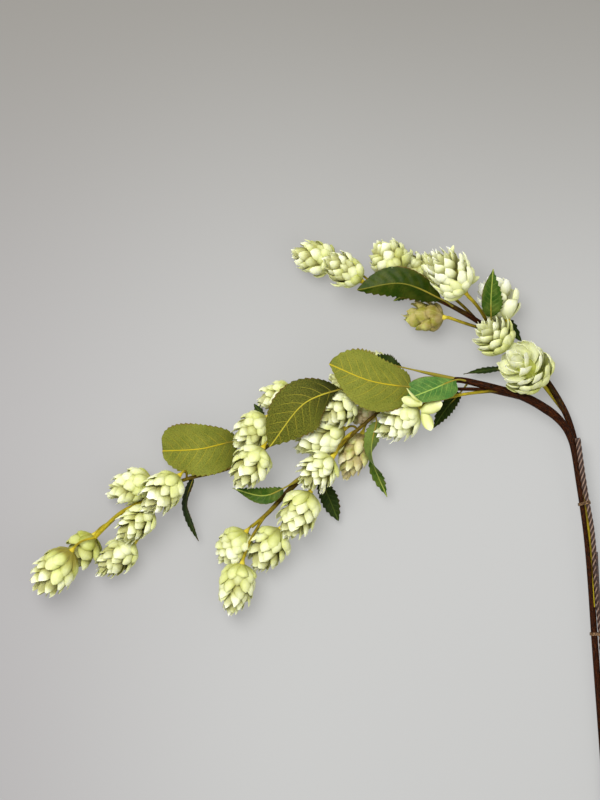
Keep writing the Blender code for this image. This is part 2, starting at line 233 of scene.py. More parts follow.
def bractMaterial():
    constants = {
        "Subsurface Weight": 0.2,
        "Subsurface Radius": (1.0, 0.95, 0.35),
        "Subsurface Scale": 0.003,
        "Specular IOR Level": 0.25,
    }
    made, paint, feed = newMaterial("bractFabric", constants)
    across, along, row = paint.read("spot").parts()
    tone = paint.read("tone", "Fac")
    where = paint.where()
    cloudy = where.noise(bractPaint["clouds"])
    fibreX, fibreY, fibreZ = bractPaint["fibres"]
    fibres = paint.join(across * fibreX, along * fibreY, row * fibreZ).noise(1.0, 4)
    weave = where.noise(bractPaint["weave"], 2)
    # painted light and shade: a bract is lighter in its middle and darker at its edges, as on its bulge; it
    # is whiter towards its tip, its own colour, and darker at its foot, partly painted shade in the gaps
    bulgeLight = 1 - across * across
    pale = bulgeLight * 0.3 + along * 0.25 + row * 0.7 + (cloudy - 0.5) * 0.6 + (tone - 0.5) * 0.9
    body = pale.fade(-0.1, 0.5).mix(bractPaint["deep"], bractPaint["green"])
    body = pale.fade(0.35, 1.0).mix(body, bractPaint["cream"])
    body = pale.fade(1.0, 1.5).mix(body, bractPaint["white"])
    # painted shade: darker olive where a vertex lies deep under the cone's round outside, less so in the
    # bracts near the tip
    deep = paint.read("deep", "Fac") + (cloudy - 0.5) * 0.1
    body = (deep.fade(-0.02, 0.22) * 0.6).mix(body, bractPaint["deep"])
    body = (deep.fade(0.06, 0.32) * (0.97 - row * 0.6)).mix(body, bractPaint["creaseShade"])
    body = (fibres.fade(0.5, 0.72) * 0.25).mix(body, bractPaint["green"])
    blushed = paint.read("rim", "Fac")
    body = (blushed * cloudy.fade(0.35, 0.6) * 0.7).mix(body, bractPaint["blush"])
    specks = where.noise(bractPaint["specks"], 2).fade(0.68, 0.74)
    body = (blushed * specks * 0.8).mix(body, bractPaint["speck"])
    feed("Base Color", body)
    feed("Roughness", cloudy * 0.2 + bractPaint["rough"])
    feed("Normal", (fibres * 0.7 + weave * 0.3).bump(*bractPaint["bump"]))
    return made


leafPaints = {
    # front, back and vein: the colours of the blade's two faces and its veins
    # side and net: how much of the side veins, and of the net between them, shows
    # base shade and reach: how much painted shade darkens it at its base, and for how many mm
    # mottle: how dark its blotches are
    "glossy": {
        "front": "243a02", "back": "55692a", "vein": "6c6a24", "rough": 0.33, "side": 0.06, "net": 0.1,
        "baseShade": 0.5, "reach": 70, "mottle": 0.4,
    },
    "olive": {
        "front": "3d5416", "back": "777b2f", "vein": "b09c24", "rough": 0.6, "side": 0.5, "net": 0.5,
        "baseShade": 0.25, "reach": 25, "mottle": 0.5,
    },
    "netted": {
        "front": "33400f", "back": "565a1c", "vein": "a89c30", "rough": 0.55, "side": 0.5, "net": 1.0,
        "baseShade": 0.95, "reach": 58, "mottle": 0.85,
    },
    "bluish": {
        "front": "3d682c", "back": "5c8458", "vein": "92aa50", "rough": 0.42, "side": 0.45, "net": 0.3,
        "baseShade": 0.15, "reach": 15, "mottle": 0.45,
    },
    "dark": {
        "front": "1d2c0a", "back": "3a4a1c", "vein": "3e4c1a", "rough": 0.5, "side": 0.5, "net": 0.4,
        "baseShade": 0.3, "reach": 20, "mottle": 0.4,
    },
    "fresh": {
        "front": "2a4a0e", "back": "6d7f38", "vein": "8a9440", "rough": 0.4, "side": 0.2, "net": 0.2,
        "baseShade": 0.3, "reach": 20, "mottle": 0.4,
    },
}
veinLook = {
    "rise": 0.7,  # a side vein's slope, mm along the leaf for each mm across
    "bend": 0.014,  # and how it curves to the tip
    "thin": 0.3,  # mm, half the width of a side vein
    "stalk": tint("867a2c"),
    "scorched": tint("6a3d22"),
    # dark: the colour of its blotches, and of the painted shade at its base
    "dark": tint("161a04"),
    "clouds": 0.09,  # how fine its noises are, and the cells of its net
    "grain": 0.75,
    "cells": 0.65,
    "bump": (0.4, 0.0006),
}


def leafMaterial(name, look):  # spot is mm across, mm along and mm from one side vein to the next
    constants = {"Specular IOR Level": 0.05, "Subsurface Weight": 0.05, "Subsurface Scale": 0.002}
    made, paint, feed = newMaterial(name + "Leaf", constants)
    frontPaint, backPaint, veinPaint = (tint(look[part]) for part in ("front", "back", "vein"))
    across, along, spacing = paint.read("spot").parts()
    face = paint.read("tone", "Fac")  # 0 is the back, 1 the front and 2 the stalk
    margin = paint.read("rim", "Fac")
    flat = paint.join(across, along, face * 3)
    cloudy = flat.noise(veinLook["clouds"])
    grainy = flat.noise(veinLook["grain"], 4, 0.7)
    voronoi = {"Vector": flat, "Scale": veinLook["cells"]}
    net = 1 - flat.node("ShaderNodeTexVoronoi", {"feature": "DISTANCE_TO_EDGE"}, voronoi).fade(0.0, 0.12)
    out = across.size() + (cloudy - 0.5) * 2
    rows = along - out * veinLook["rise"] - out * out * veinLook["bend"] + across.maths("SIGN", across) * 1.2
    phase = rows / spacing
    near = (phase - phase.maths("FLOOR", phase) - 0.5).size() * spacing
    side = 1 - near.fade(veinLook["thin"] * 0.3, veinLook["thin"] * 1.6)
    side = side * (1 - margin.fade(0.35, 0.95))
    middle = 1 - across.size().fade(0.3, 0.8)
    lines = middle.maths("MAXIMUM", middle, side * look["side"], clamp=True)
    front = (cloudy.fade(0.35, 0.7) * 0.25).mix(frontPaint, veinPaint)
    back = (cloudy.fade(0.35, 0.7) * 0.3).mix(backPaint, frontPaint)
    blade = face.maths("MINIMUM", face, 1).mix(back, front)
    blade = (net * 0.22 * look["net"]).mix(blade, veinPaint)
    blade = (grainy.fade(0.4, 0.72) * look["mottle"]).mix(blade, veinLook["dark"])
    # painted shade: darker towards its base
    baseShade = (1 - (along + (cloudy - 0.5) * 30).fade(0, look["reach"])) * look["baseShade"]
    blade = baseShade.mix(blade, veinLook["dark"])
    blade = (margin.fade(0.93, 1.0) * cloudy.fade(0.4, 0.6) * 0.6).mix(blade, veinLook["scorched"])
    blade = lines.mix(blade, veinPaint)
    feed("Base Color", face.fade(1.0, 1.6).mix(blade, veinLook["stalk"]))
    feed("Roughness", grainy * 0.15 + look["rough"] - 0.07)
    height = lines * 0.7 + net * 0.2 * look["net"] + grainy * 0.15
    feed("Normal", height.bump(*veinLook["bump"]))
    return made


rodPaint = {
    # groove and rib: darker and lighter, painted shade in the twist's grooves and painted highlight on its
    # ribs
    "groove": tint("2a150c"),
    "rib": tint("806858"),
    "wear": 260,  # how fine its noise is
    "rough": 0.5,
    "bump": (0.5, 0.0004),
}


def rodMaterial():  # spot.x is 1 on a rib of the twist and 0 in its groove; the rib is painted lighter, as highlight, and the groove darker, as shade
    made, paint, feed = newMaterial("twistedRod", {"Specular IOR Level": 0.35})
    rib = paint.read("spot").parts()[0]
    worn = paint.where().noise(rodPaint["wear"], 4)
    raised = (rib + (worn - 0.5) * 0.5).fade(0.5, 1.0)
    feed("Base Color", raised.mix(rodPaint["groove"], rodPaint["rib"]))
    feed("Roughness", worn * 0.2 + rodPaint["rough"])
    feed("Normal", worn.bump(*rodPaint["bump"]))
    return made


plainPaints = {
    "plainRod": {"dark": "1d100b", "light": "4a3020", "rough": 0.45, "wear": 300, "metal": 0},
    "tieWire": {"dark": "3a2416", "light": "8a6a44", "rough": 0.35, "wear": 500, "metal": 0.4},
}


def plainMaterial(name):
    look = plainPaints[name]
    made, paint, feed = newMaterial(name, {"Metallic": look["metal"]})
    worn = paint.where().noise(look["wear"], 4)
    feed("Base Color", worn.fade(0.35, 0.7).mix(tint(look["dark"]), tint(look["light"])))
    feed("Roughness", worn * 0.2 + look["rough"])
    feed("Normal", worn.bump(0.3, 0.0003))
    return made


finishes = {
    "bark": barkMaterial(),
    "bract": bractMaterial(),
    "rod": rodMaterial(),
    "plainRod": plainMaterial("plainRod"),
    "wire": plainMaterial("tieWire"),
    **{name: leafMaterial(name, look) for name, look in leafPaints.items()},
}


def newShape():  # an empty bmesh with the attributes that the materials read
    shape = bmesh.new()
    shape.verts.layers.float_vector.new("spot")
    shape.verts.layers.float.new("tone")
    shape.verts.layers.float.new("rim")
    return shape


def layersOf(shape):  # spot, tone and rim
    numbers = shape.verts.layers.float
    return shape.verts.layers.float_vector["spot"], numbers["tone"], numbers["rim"]


def pieceName(node):
    return node.replace("_", "")


def finishPiece(name, shape, finish, nodes):
    mesh = bpy.data.meshes.new(name)
    shape.to_mesh(mesh)
    shape.free()
    mesh.materials.append(finishes[finish])
    mesh.shade_smooth()
    mesh.set_sharp_from_angle(angle=math.radians(60))
    piece = bpy.data.objects.new(name, mesh)
    bpy.context.scene.collection.objects.link(piece)
    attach(piece, "root")
    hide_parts(*nodes)


tubeLook = {
    "grain": 0.12,  # how far the grain runs along a tube beside how far it runs round it
    "noVeins": 100,  # mm between side veins on a midrib, so that it has none
}


def growTube(shape, points, radii, tones, sides, twist=None, midrib=False):
    # a ring pulled along the points and closed at both ends; radii in mm and tones are read along it
    spot, tone, around = layersOf(shape)  # rim holds the angle round the tube until it is done
    ring = bmesh.ops.create_circle(shape, segments=sides, radius=1)["verts"]
    for vert in ring:
        vert[around] = math.atan2(vert.co.y, vert.co.x)
    edges = list(dict.fromkeys(edge for vert in ring for edge in vert.link_edges))
    ahead = (points[1] - points[0]).normalized()
    side = ahead.orthogonal().normalized()
    gone = 0.0
    faces = []
    first = edges
    for i, point in enumerate(points):
        if i:
            pulled = bmesh.ops.extrude_edge_only(shape, edges=edges)["geom"]
            ring = [e for e in pulled if isinstance(e, bmesh.types.BMVert)]
            edges = [e for e in pulled if isinstance(e, bmesh.types.BMEdge)]
            faces += [e for e in pulled if isinstance(e, bmesh.types.BMFace)]
            gone += (point - points[i - 1]).length / mm
            turned = (points[min(i + 1, len(points) - 1)] - points[i - 1]).normalized()
            side.rotate(ahead.rotation_difference(turned))
            ahead = turned
        share = i / (len(points) - 1)
        radius = mixAlong(radii, share)
        for vert in ring:
            angle = vert[around]
            out = radius
            vert[spot] = (math.cos(angle) * radius, math.sin(angle) * radius, gone * tubeLook["grain"])
            if midrib:
                vert[spot] = (0, gone, tubeLook["noVeins"])
            if twist:
                rib = 0.5 + 0.5 * math.cos(twist["ribs"] * (angle - gone / twist["pitch"] * math.tau))
                out = radius * (1 + twist["deep"] * (rib - 0.5))
                vert[spot] = (rib, gone, 0)
            vert.co = point + (side * math.cos(angle) + ahead.cross(side) * math.sin(angle)) * out * mm
            vert[tone] = mixAlong(tones, share)
    for loop in (first, edges):
        faces += bmesh.ops.edgeloop_fill(shape, edges=loop)["faces"]
    bmesh.ops.recalc_face_normals(shape, faces=faces)
    for vert in {v for face in faces for v in face.verts}:
        vert[around] = 0.0


print("stems")

routeSteps = 6  # for each span of a route
branchSets = {
    # route: pixels across and down and height in mm; radii in mm and tones as in barkMaterial, along it
    "main_stem": {
        "route": [
            (613, 905, 3.8), (609, 845, 4.5), (605, 780, 6.5), (600, 712, 9), (595, 645, 12),
            (590.6, 580, 15.2), (586, 530, 18), (578.7, 480, 21), (574, 450, 22), (569.8, 436, 22.3),
            (564.6, 426.2, 22.6), (555.4, 416, 24), (543.7, 407.6, 25.2), (530, 399.7, 27),
            (515.7, 393.8, 28.5), (501, 389.7, 30), (480, 384.2, 32), (457, 379.8, 34), (428, 382, 35),
            (404, 386.5, 35.5),
        ],
        "radii": [3.8, 3.7, 3.5, 3.3, 3.2, 3.2, 3.4, 3.9, 4.7, 4.5, 4.0, 3.5, 2.7, 1.9],
        "tones": [0, 0, 0, 0, 0, 0.1, 0.2],
        "sides": 14,
    },
    "arch_strand": {
        "route": [
            (545, 408.5, 22), (530, 401, 24.5), (515, 396.4, 26.5), (503, 393.6, 28), (491, 391, 29.5),
            (474, 389.2, 31), (458, 389, 33), (442, 388, 34.5),
        ],
        "radii": [1.6, 2.1, 2.2, 2.1, 1.8, 1.5],
        "tones": [0, 0, 0.1, 0.1, 0.1, 0.3],
        "sides": 10,
    },
    "golden_strand": {
        "route": [
            (583.3, 490, 25), (586.4, 513, 24.5), (589, 532, 23.3), (590.8, 550, 21.8), (592.3, 573, 19.5),
            (594.5, 607, 17),
        ],
        "radii": [0.4, 1.0, 1.1, 1.0, 0.5, 0.5],
        "tones": [0.3, 0.5, 0.6, 0.45, 0.35, 1.2],
        "sides": 8,
    },
    "upper_branch": {
        "route": [
            (577, 452, 18.5), (575, 441, 16.2), (571.3, 428, 15.8), (565.6, 413, 15.8), (557.2, 397.3, 15),
            (546.5, 381, 12), (532, 364, 8.5), (515, 349, 8.5), (497, 335, 15), (480.3, 323, 23),
            (461, 311.2, 28), (442, 301.4, 30), (418, 292, 28), (392, 285, 26), (371, 282, 25),
        ],
        "radii": [2.6, 3.4, 3.4, 2.8, 2.4, 1.5],
        "tones": [0, 0.2, 0.3, 0.15, 0.3, 0.8],
        "sides": 10,
    },
    "left_branch": {
        "route": [
            (414, 384.6, 35.6), (401, 387.5, 36.6), (374, 390, 35), (347, 389, 34), (320, 400, 31),
            (295, 420, 29), (268, 446, 24), (250, 456, 15), (232, 467, 19), (212, 473, 26), (190, 478, 28),
            (172, 485, 22), (152, 497, 19), (134, 505.5, 21), (120, 513.5, 25), (107, 525, 31),
            (94, 538, 38),
        ],
        "radii": [1.6, 1.9, 1.9, 1.9, 2.4],
        "tones": [0.2, 0.3, 0.4, 0.4, 0.8, 0.9],
        "sides": 10,
    },
    "lower_branch": {
        "route": [
            (416, 385, 34.4), (401, 389, 33), (388, 402, 36), (376, 414, 38), (354, 433, 39),
            (336, 451, 33), (319, 467, 23), (302, 477.8, 25), (285.5, 494, 29), (268.5, 512.5, 30),
            (251.5, 527, 29),
        ],
        "radii": [1.6, 1.9, 1.9, 1.9, 2.0, 2.3, 3.0, 2.3, 1.7],
        "tones": [0, 0.1, 0.4, 0.2, 0.3, 0.7],
        "sides": 10,
    },
    "lower_strand": {
        "route": [
            (355, 430, 37), (348, 436, 39), (340.5, 445, 38), (332.5, 455, 33), (327, 461, 28),
        ],
        "radii": [0.6, 1.9, 2.2, 2.2, 1.8],
        "tones": [0.5, 0.9, 0.7, 1.0, 0.8],
        "sides": 8,
    },
}
coneSets = {
    # fork: the pixel where its stalk starts; branch: what it grows on, where its name doesn't say it
    # nudge: pixels right and down from its solid, and swing: the same for its tip alone
    # grow and fat: its size and its width beside the solid's
    # ends: pixel and height in mm of its foot and tip, where they aren't taken from its solid
    # open: how far its bracts stand off; count and broad: how many they are and how wide
    # pale: how white they are; shade: how strong the painted shade inside the cone is; blush: how brown their
    # edges are
    # stalk: the stalk's radius in mm; yellow: its tone at the cone; sag: where its bend is moved, in pixels
    # loose: bracts that stand away: pixel and height of foot and tip, half width in mm and roll in degrees
    "cone_upper_01": {"fork": (372, 281), "nudge": (0, -3.5), "swing": (-1, 9), "grow": 1.04, "fat": 1.05},
    "cone_upper_02": {"fork": (376, 283), "nudge": (1, 0.5), "swing": (-1, 4), "fat": 0.97, "stalk": 1.6},
    "cone_upper_03": {"fork": (425, 294), "nudge": (2, 5), "swing": (-1, 1), "grow": 1.1, "fat": 1.07},
    "cone_upper_04": {"fork": (448, 304), "nudge": (0, -5), "grow": 1.25},
    "cone_upper_05": {
        "fork": (489, 329), "nudge": (0, 1), "swing": (-6, 1), "fat": 1.02, "open": 0.25, "pale": 0.15,
        "shade": 0.75, "count": 58, "broad": 0.84, "stalk": 1.9, "yellow": 0.75, "sag": (3, -1),
        "loose": (
            ((451, 260, 60), (453, 245.5, 56), 2.6, 20),
            ((466, 285, 54), (478, 276, 44), 3.5, 0),
            ((463, 290, 52), (438, 290, 60), 6, -20),
            ((464, 292, 50), (445, 299, 54), 6, 0),
        ),
    },
    "cone_upper_06": {
        "fork": (476, 320), "nudge": (-5, 1), "grow": 1.1, "stalk": 1.6, "yellow": 0.7, "sag": (6, -3),
    },
    # its low pale and its high shade darken it, painted shade for the shadow of a leaf over it
    "cone_upper_07": {
        "fork": (490, 335.5), "nudge": (0.3, 0.7), "swing": (-0.5, -5.5), "grow": 1.17, "pale": -2,
        "blush": 0.35, "shade": 4, "count": 20, "broad": 1.3, "stalk": 1.6, "yellow": 0.75, "sag": (2, 8),
    },
    "cone_upper_08": {
        "fork": (512, 347), "nudge": (1.5, 5), "swing": (-6, 0), "grow": 1.08, "fat": 1.06, "open": 0.0,
        "pale": 0.55, "shade": 0.3, "count": 17, "broad": 1.4,
    },
    "cone_upper_09": {
        "fork": (519, 352), "ends": ((507.5, 349, 30), (481, 322.5, 38)), "pale": -0.1, "fat": 1.06,
        "open": 0.45, "shade": 0.5,
    },
    "cone_upper_10": {
        "fork": (567, 416.5), "ends": ((538.5, 380, 24), (512, 355, 60)), "pale": -0.05, "shade": 0.15,
        "count": 42, "fat": 1.06, "stalk": 2.0, "yellow": 1.1, "sag": (-1.3, 0.8),
    },
    "cone_middle_01": {
        "branch": "main_stem", "fork": (507, 393), "nudge": (-3, -1), "open": 0.6, "pale": 0.1,
        "stalk": 1.6, "yellow": 1.3, "sag": (6, 6),
        "loose": (
            ((420, 402, 54), (407, 389, 60), 3.5, 70),
            ((422, 404, 52), (402, 399, 58), 6, 10),
            ((421, 411, 44), (442, 404, 50), 7.5, 0),
            ((423, 411, 42), (431, 430, 46), 6.5, 0),
        ),
    },
    "cone_middle_02": {"branch": "left_branch", "fork": (392, 388), "nudge": (0, 3)},
    "cone_middle_03": {"branch": "left_branch", "fork": (362, 389), "nudge": (8, 9), "grow": 1.1},
    "cone_middle_04": {
        "branch": "left_branch", "fork": (356, 389), "ends": ((351, 396.5, 37), (321, 424, 43)), "fat": 1.2,
        "pale": 0.1,
    },
    "cone_middle_05": {"branch": "lower_branch", "fork": (384, 405), "pale": -0.1, "blush": 0.9},
    "cone_left_01": {"fork": (308, 409), "nudge": (2, 3.5), "fat": 1.05},
    "cone_left_02": {"fork": (280, 434), "nudge": (1.5, 1), "grow": 1.03},
    "cone_left_03": {"fork": (272, 442), "nudge": (-1, -2), "grow": 1.04},
    "cone_left_04": {
        "fork": (185, 479), "ends": ((178.5, 476.3, 39), (144.5, 510.3, 48)), "open": 0.3, "pale": 0.1,
    },
    "cone_left_05": {"fork": (178, 482), "nudge": (1.5, 1.5), "swing": (2, 1), "fat": 1.15},
    "cone_left_06": {"fork": (166, 488), "nudge": (1, -2), "open": 0.3},
    "cone_left_07": {"fork": (142, 500), "nudge": (0.5, -3), "swing": (2, 0), "grow": 1.04},
    "cone_left_08": {
        "fork": (110, 523), "nudge": (-1.5, 1.5), "grow": 1.25, "pale": -0.3, "count": 18, "broad": 1.35,
    },
    "cone_left_09": {
        "fork": (95, 537), "ends": ((71.3, 551, 41), (38.5, 591.3, 28)), "fat": 1.08, "open": 0.5,
        "pale": -0.05, "shade": 1.8,
    },
    "cone_lower_01": {
        "fork": (356, 431), "ends": ((343.5, 429, 30), (297, 448.5, 27)), "fat": 1.3, "pale": 0.1,
    },
    # its high shade darkens it, painted shade for the shadow that it lies in
    "cone_lower_02": {"fork": (374, 416), "pale": -0.2, "blush": 0.5, "shade": 2},
    "cone_lower_03": {
        "fork": (352, 435), "nudge": (1, -0.5), "open": 0.55, "pale": 0.1, "count": 46, "broad": 0.9,
        "sag": (-6, -4),
    },
    "cone_lower_04": {"fork": (300, 480), "nudge": (3, -2.5), "open": 0.25},
    "cone_lower_05": {"fork": (289, 490), "nudge": (-1, -2), "grow": 1.1},
    "cone_lower_06": {"fork": (258, 521), "nudge": (-1, 1), "grow": 1.08, "broad": 1.15},
    "cone_lower_07": {"fork": (265.5, 515), "nudge": (-1, -1), "stalk": 1.5, "sag": (1, 0)},
}
routes = {
    name: smoothRoute([place(*p) for p in sets["route"]], routeSteps) for name, sets in branchSets.items()
}
bractReach = 1.07  # how far bracts stand out, as a share of the cone's radius


def addBranches(allSets):  # a cone or leaf that names no branch grows on the one it is named for
    for name, sets in allSets.items():
        sets.setdefault("branch", name.split("_")[1] + "_branch")


def forkAt(sets):  # where it forks off: the point of its branch's centre line, and the share along that
    near = place(*sets["fork"], photo["level"])
    route = routes[sets["branch"]]
    at = min(range(len(route)), key=lambda i: (route[i].xy - near.xy).length)
    return route[at], at / (len(route) - 1)


def coneEnds(name):  # a cone's foot and tip: the two points of its solid where the most edges meet
    shape = bmesh.new()
    shape.from_mesh(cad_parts[name].data)
    bmesh.ops.remove_doubles(shape, verts=shape.verts, dist=0.001 * mm)
    ends = sorted(shape.verts, key=lambda v: -len(v.link_edges))[:2]
    ends = [v.co.copy() for v in ends]
    axis = (ends[1] - ends[0]).normalized()
    wide = max((v.co - ends[0]).cross(axis).length for v in shape.verts)
    shape.free()
    sets = coneSets[name]
    fat = sets.get("fat", 1)
    if "ends" in sets:
        foot, tip = (place(*p) for p in sets["ends"])
        return foot, tip, wide * fat
    start, _ = forkAt(sets)
    foot, tip = sorted(ends, key=lambda p: (p - start).length)
    middle = (foot + tip) / 2 + pixels(*sets.get("nudge", (0, 0)))
    grown = sets.get("grow", 1)
    wide *= grown * fat
    middle.z = max(middle.z, wide * bractReach)  # it doesn't sink into the table
    half = (tip - foot) / 2 * grown
    return middle - half, middle + half + pixels(*sets.get("swing", (0, 0))), wide


addBranches(coneSets)
coneFrames = {name: coneEnds(name) for name in coneSets}

stalkLook = {
    "radius": 1.15,
    "yellow": 0.65,  # its tone at the cup
    "greening": 0.7,  # under 1, it takes that tone soon after the fork
    "bend": 0.45,  # how far before the cup it bends, as a share of its length
    "steps": 9,
    "sides": 8,
    "flare": 1.25,  # how much thicker it is where it leaves the branch
    "cupLong": 6.0,
    "cupNeck": (1.1, 1.2),  # how much thicker it is where the cup starts, and its tone there
    "cup": (  # the cup's rings: mm past the cone's foot, radius and tone
        (-3.6, 1.7, 1.6),
        (-1.6, 2.6, 2.0),
        (0.3, 3.1, 2.0),
        (1.2, 2.4, 2.0),
    ),
}


def growStalk(shape, name):
    sets = coneSets[name]
    foot, tip, _ = coneFrames[name]
    start, share = forkAt(sets)
    axis = (tip - foot).normalized()
    cupStart = foot - axis * stalkLook["cupLong"] * mm
    bend = cupStart - axis * (cupStart - start).length * stalkLook["bend"]
    bend += pixels(*sets.get("sag", (0, 0)))
    thin = sets.get("stalk", stalkLook["radius"])
    yellow = sets.get("yellow", stalkLook["yellow"])
    branchTone = mixAlong(branchSets[sets["branch"]]["tones"], share)
    thicker, neckTone = stalkLook["cupNeck"]
    points, radii, tones = [], [], []
    for step in range(stalkLook["steps"]):
        t = step / stalkLook["steps"]
        points.append(start * (1 - t) ** 2 + bend * 2 * t * (1 - t) + cupStart * t**2)
        radii.append(thin if step else thin * stalkLook["flare"])
        tones.append(blend(branchTone, yellow, t ** stalkLook["greening"]))
    points.append(cupStart)
    radii.append(thin * thicker)
    tones.append(neckTone)
    for past, radius, tone in stalkLook["cup"]:
        points.append(foot + axis * past * mm)
        radii.append(max(thin, radius))
        tones.append(tone)
    growTube(shape, points, radii, tones, stalkLook["sides"])


woods = {
    "mainstemWood": ("bark", ("main_stem", "arch_strand", "golden_strand"), ["main_stem", "arch"]),
    "upperbranchWood": ("twig", ("upper_branch",), ["upper_branch"]),
    "leftbranchWood": ("twig", ("left_branch",), ["left_branch"]),
    "lowerbranchWood": ("twig", ("lower_branch", "lower_strand"), ["lower_branch"]),
}
for name, (slot, branches, nodes) in woods.items():
    shape = newShape()
    for branch in branches:
        sets = branchSets[branch]
        growTube(shape, routes[branch], sets["radii"], sets["tones"], sets["sides"])
    for cone in coneSets:
        if coneSets[cone]["branch"] in branches:
            growStalk(shape, cone)
    finishPiece(name, shape, "bark", nodes)

print("cones")

coneLook = {
    "count": 46,
    "countSpread": 3,
    "open": 0.15,
    "openOut": 0.2,  # how much wider an open cone is
    "turn": 137.5,  # degrees from one bract to the next
    "turnSpread": 0.22,  # radians
    "tips": (0.23, 1.05),  # how far along the cone the first and the last bract end
    "tipSpread": 0.04,
    "crowding": 0.85,  # under 1, they are closer together near the cone's tip
    "profile": (0.4, 0.82, 0.99, 1.02, 0.97, 0.85, 0.62),  # the cone's radius from foot to tip
    "strays": 0.12,  # the share of bracts that stand out, and how far
    "strayOut": 1.12,
    "closing": 0.75,  # from this share on, the bracts close over the end
    "closed": 0.15,
    "core": (0.38, 0.36, 0.4),  # radius, half length and middle of what fills it, beside its own
    "heart": (0.48, 0.62),  # the middle and half length of the shade inside it
}
bractLook = {
    "acrossCells": 4,
    "rows": (0.0, 0.25, 0.5, 0.75, 0.92, 1.0),  # shares of its length
    "outline": (0.3, 0.8, 1.0, 0.97, 0.79, 0.5),  # its half width at those
    "drop": (0.0, 0.0, 0.05, 0.12, 0.11, 0.075),  # how far its edges lie behind its middle there
    "thick": 0.35,
    "foot": 0.14,  # how far out it starts, as a share of the cone's radius
    "shoulder": 0.36,  # how far along it stands out the most
    "belly": (1.16, 0.8),  # how far that is beside its tip, on a closed cone and on an open one
    "inside": (1.2, 1.0),  # mm that its tip stays inside the cone's outline, across and along
    "openCurl": 12,
    "lean": 1.6,
    # each pair from here on: at the cone's foot and at its tip
    "long": (0.46, 0.38),  # its length as a share of the cone's
    "wide": (0.42, 0.31),  # its half width as a share of the cone's radius
    "cup": (1.05, 1.6),  # the radius that it is cupped round, as a share of its half width
    "curl": (-11, -2),
    "point": (0, 0.1),
    "rag": (0.015, 0.065),
    "ruffle": (0.15, 1.05),
}
bractSpread = {  # the least and the most that chance makes of each
    "out": (0.9, 1.04),
    "wide": (0.84, 1.16),
    "belly": (0.94, 1.06),
    "cup": (0.9, 1.15),
    "curl": (0.6, 1.3),
    "point": (0, 0.05),
    "tone": (-0.25, 0.25),
}
looseLook = {"curl": 0, "point": 0.03, "rag": 0.01, "ruffle": 0.2, "row": 0.2}
looseBulge = 0.3  # how far a loose bract bulges, as a share of its half width
looseCup = 1.1  # the radius that it is cupped round, as a share of the same
looseTone = -0.15  # how much less white it is than the others


def bractTemplate(shape):  # a flat closed plate, its vertices marked with their spots
    spot, *_ = layersOf(shape)
    rows = len(bractLook["rows"]) - 1
    bmesh.ops.create_grid(shape, x_segments=bractLook["acrossCells"], y_segments=rows, size=1)
    bmesh.ops.solidify(shape, geom=shape.faces[:], thickness=1)
    lowest = min(v.co.z for v in shape.verts)
    for vert in shape.verts:
        vert[spot] = (vert.co.x, round((vert.co.y + 1) / 2 * rows), vert.co.z - lowest)
    bmesh.ops.recalc_face_normals(shape, faces=shape.faces)
    return [*shape.verts, *shape.edges, *shape.faces]


def shapeBract(shape, template, seat, draw):
    # its midrib is a curve from its foot by its shoulder to its tip
    copied = bmesh.ops.duplicate(shape, geom=template)["geom"]
    spot, tone, rim = layersOf(shape)
    foot, shoulder, tip, side = seat["foot"], seat["shoulder"], seat["tip"], seat["side"]
    ragged = {}
    for vert in copied:
        if not isinstance(vert, bmesh.types.BMVert):
            continue
        s, row, layer = vert[spot]
        row = round(row)
        t = bractLook["rows"][row]
        shake = ragged.setdefault((round(s, 2), row), (draw.uniform(-1, 1), draw.uniform(-1, 1)))
        width = seat["half"] * bractLook["outline"][row]
        reach = t - bractLook["drop"][row] * s * s + seat["point"] * (1 - abs(s)) * t**4
        reach += seat["rag"] * shake[0] * t**3
        centre = foot * (1 - reach) ** 2 + shoulder * 2 * reach * (1 - reach) + tip * reach**2
        way = ((shoulder - foot) * (1 - reach) + (tip - shoulder) * reach).normalized()
        angle = s * width / seat["cup"]
        sunk = seat["cup"] * (1 - math.cos(angle)) - seat["ruffle"] * shake[1] * t * t
        lift = layer * bractLook["thick"] - sunk + seat["curl"] * max(t - 0.5, 0) ** 2
        sideways = seat["cup"] * math.sin(angle) + t * t * seat["lean"]
        vert.co = (centre + side * sideways + side.cross(way).normalized() * lift) * mm
        vert[spot] = (s, t, seat["row"])
        vert[tone] = seat["tone"]
        vert[rim] = seat["blush"]


